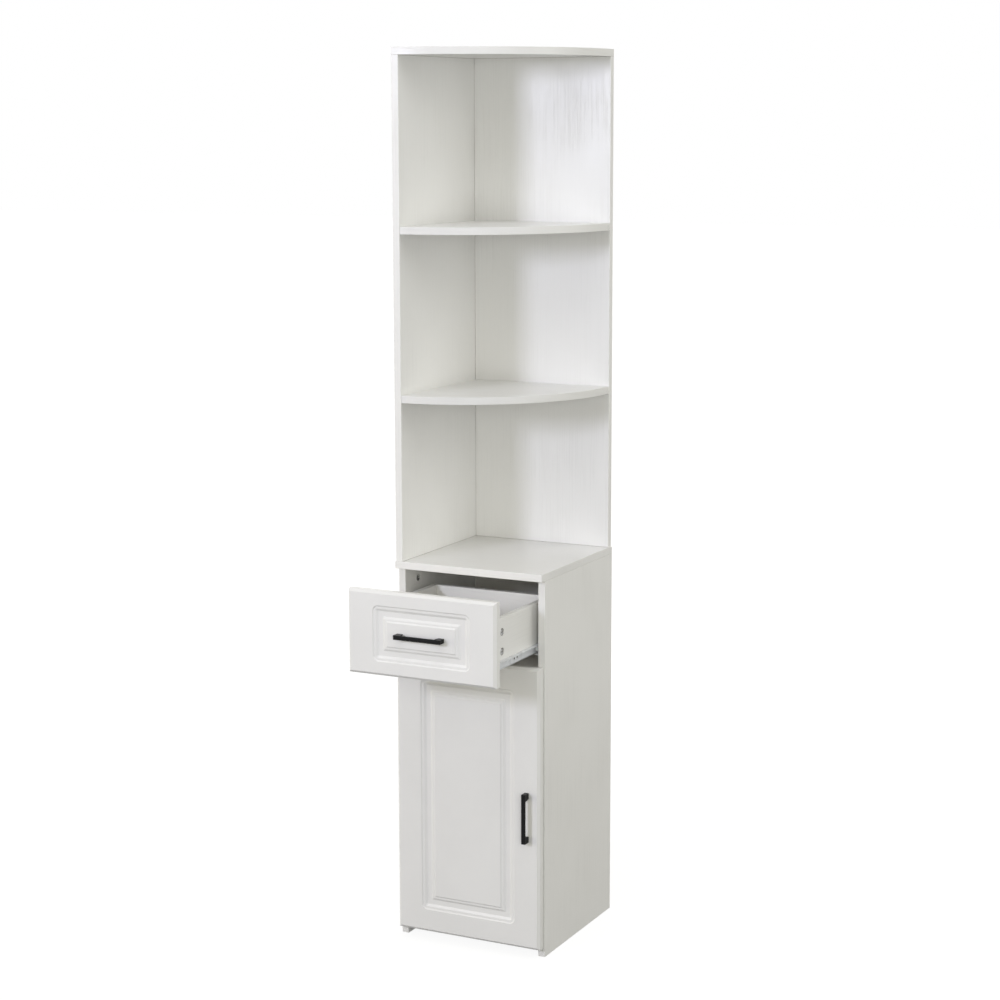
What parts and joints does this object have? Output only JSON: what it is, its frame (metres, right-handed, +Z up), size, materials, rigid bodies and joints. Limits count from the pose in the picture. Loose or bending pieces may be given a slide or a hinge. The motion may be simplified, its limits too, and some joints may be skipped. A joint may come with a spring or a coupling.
{
  "type": "corner bathroom cabinet",
  "caption": "Tall white corner cabinet: base with a raised-panel door under a drawer on roller runners, open quarter-round shelves above.",
  "frame": {"origin": "the room corner on the floor: where the outer face of the left side panel, its back edge and its underside meet", "axes": "+X right along the back wall, -Y out of the back wall towards the user, +Z up"},
  "size_m": [0.327, 0.5508, 1.8],
  "materials": {
    "white_board": "white melamine-faced board with a fine embossed grain",
    "white_front": "moulded fibreboard wrapped in satin white film",
    "drawer_board": "white melamine-faced drawer board",
    "white_hardboard": "white lacquered hardboard",
    "black_handle": "satin black coated zinc casting",
    "zinc": "bright zinc plated",
    "nickel": "nickel plated pressed steel",
    "runner_white": "white epoxy coated pressed steel",
    "nylon": "natural white nylon",
    "beech": "grooved beech dowel",
    "clear_bumper": "clear soft bumper"
  },
  "bodies": {
    "cabinet": {"left_side_panel": "white_board", "right_side_panel": "white_board", "bottom_panel": "white_board", "divider_panel": "white_board", "middle_board": "white_board", "lower_back_panel": "white_hardboard", "cupboard_shelf": "white_board", "shelf_pins": "nickel", "upper_left_panel": "white_board", "upper_back_panel": "white_board", "curved_top_panel": "white_board", "lower_curved_shelf": "white_board", "upper_curved_shelf": "white_board", "carcass_cam_locks": "zinc", "carcass_cam_bolts": "zinc", "carcass_dowels": "beech", "upper_cam_locks": "zinc", "upper_cam_bolts": "zinc", "upper_dowels": "beech", "shelf_cam_locks": "zinc", "shelf_cam_bolts": "zinc", "hinge_mount_plates": "nickel", "hinge_arms": "nickel", "hinge_arm_screws": "zinc", "hinge_plate_screws": "zinc", "hinge_arm_pins": "nickel", "left_cabinet_runner": "runner_white", "right_cabinet_runner": "runner_white", "cabinet_runner_screws": "zinc", "cabinet_roller_axles": "zinc"},
    "hinge_links": {"hinge_links": "nickel"},
    "door": {"door_panel": "white_front", "door_handle": "black_handle", "door_handle_screws": "zinc", "door_bumpers": "clear_bumper", "hinge_cups": "nickel", "hinge_cup_pins": "nickel", "hinge_cup_screws": "zinc"},
    "drawer": {"drawer_front": "white_front", "drawer_left_side": "drawer_board", "drawer_right_side": "drawer_board", "drawer_back": "drawer_board", "drawer_bottom": "white_hardboard", "drawer_handle": "black_handle", "drawer_handle_screws": "zinc", "drawer_cam_locks": "zinc", "drawer_cam_bolts": "zinc", "drawer_back_screws": "zinc", "left_drawer_runner": "runner_white", "right_drawer_runner": "runner_white", "drawer_runner_screws": "zinc", "drawer_roller_axles": "zinc"},
    "left_cabinet_roller": {"left_cabinet_roller": "nylon"},
    "right_cabinet_roller": {"right_cabinet_roller": "nylon"},
    "left_drawer_roller": {"left_drawer_roller": "nylon"},
    "right_drawer_roller": {"right_drawer_roller": "nylon"}
  },
  "joints": [
    {"name": "drawer_slide", "type": "slide", "parent": "cabinet", "child": "drawer", "axis": [0, -1, 0], "range_m": [-0.19, 0.035]},
    {"name": "hinge_link_swing", "type": "hinge", "parent": "cabinet", "child": "hinge_links", "pos_m": [0.037, -0.317, 0.30775], "axis": [0, 0, 1], "range_deg": [0, 30]},
    {"name": "door_swing", "type": "hinge", "parent": "hinge_links", "child": "door", "pos_m": [0.014, -0.331, 0.30775], "axis": [0, 0, -1], "range_deg": [0, 125]},
    {"name": "left_cabinet_roller_spin", "type": "hinge", "parent": "cabinet", "child": "left_cabinet_roller", "pos_m": [0.021, -0.31, 0.632], "axis": [1, 0, 0], "continuous": true},
    {"name": "right_cabinet_roller_spin", "type": "hinge", "parent": "cabinet", "child": "right_cabinet_roller", "pos_m": [0.306, -0.31, 0.632], "axis": [1, 0, 0], "continuous": true},
    {"name": "left_drawer_roller_spin", "type": "hinge", "parent": "drawer", "child": "left_drawer_roller", "pos_m": [0.021, -0.236, 0.6285], "axis": [1, 0, 0], "continuous": true},
    {"name": "right_drawer_roller_spin", "type": "hinge", "parent": "drawer", "child": "right_drawer_roller", "pos_m": [0.306, -0.236, 0.6285], "axis": [1, 0, 0], "continuous": true}
  ],
  "couplings": [
    {"joint": "hinge_link_swing", "follows": "door_swing", "ratio": 0.24},
    {"joint": "left_cabinet_roller_spin", "follows": "drawer_slide", "rad_per_m": 166.67},
    {"joint": "right_cabinet_roller_spin", "follows": "drawer_slide", "rad_per_m": 166.67},
    {"joint": "left_drawer_roller_spin", "follows": "drawer_slide", "rad_per_m": 166.67},
    {"joint": "right_drawer_roller_spin", "follows": "drawer_slide", "rad_per_m": 166.67}
  ]
}
